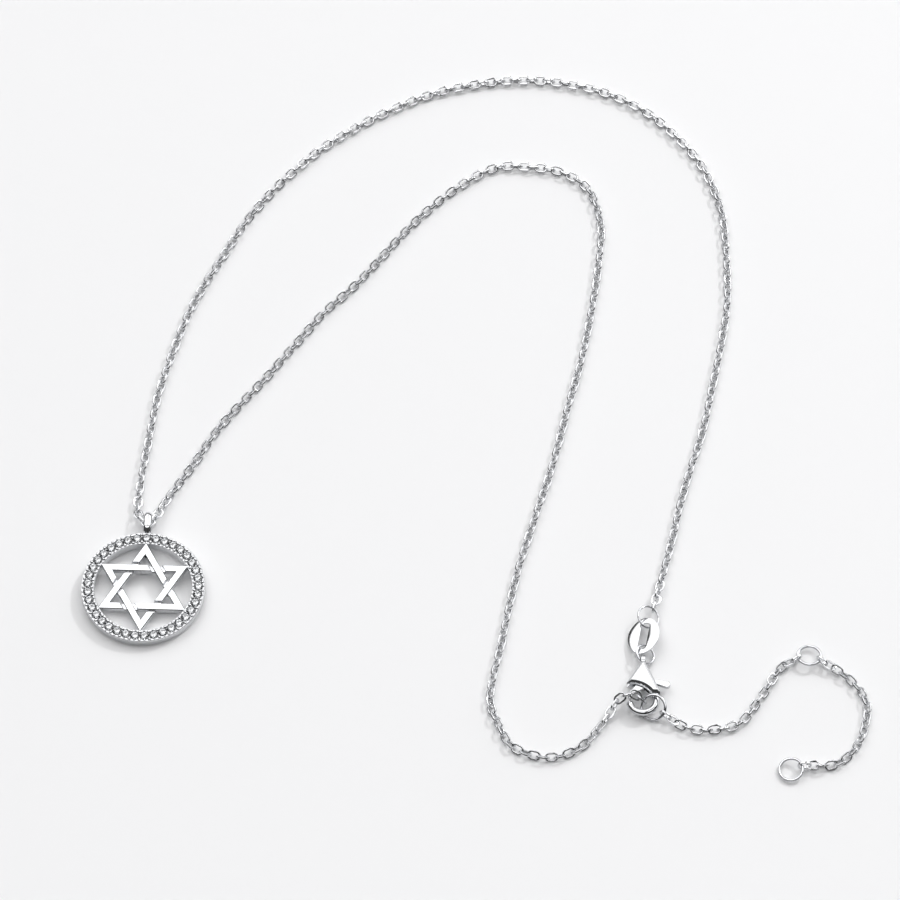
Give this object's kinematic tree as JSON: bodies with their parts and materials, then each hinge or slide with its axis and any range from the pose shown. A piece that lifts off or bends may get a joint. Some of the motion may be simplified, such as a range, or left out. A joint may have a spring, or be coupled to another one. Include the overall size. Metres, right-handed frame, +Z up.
{
  "type": "star of david pendant",
  "caption": "Round silver openwork pendant with a stone-set ring and a six-pointed star, on a cable chain with lobster clasp and extender.",
  "frame": {"origin": "middle of the lying necklace's bounding box, at table height", "axes": "+Z up from the table, +Y away from the viewer along the pendant's own upright axis within two degrees, +X to the viewer's right"},
  "size_m": [0.1026, 0.112, 0.0027],
  "materials": {
    "silver": "polished",
    "stone": "polished"
  },
  "bodies": {
    "necklace": {"pendant_frame": "silver", "pave_stones": "stone", "chain_outer": "silver", "chain_inner": "silver", "tag_ring": "silver", "quality_tag": "silver", "clasp_ring": "silver", "clasp_body": "silver", "closing_ring": "silver", "extender_chain_near": "silver", "extender_mid_ring": "silver", "extender_chain_far": "silver", "extender_end_ring": "silver"},
    "lever": {"clasp_lever": "silver"}
  },
  "joints": [
    {"name": "lever_pivot", "type": "hinge", "parent": "necklace", "child": "lever", "pos_m": [0.02162, -0.04265, 0.0011], "axis": [0, 0, 1], "range_deg": [0, 12], "stiffness_Nm_per_rad": 0.002, "springref_deg": -17.19}
  ]
}
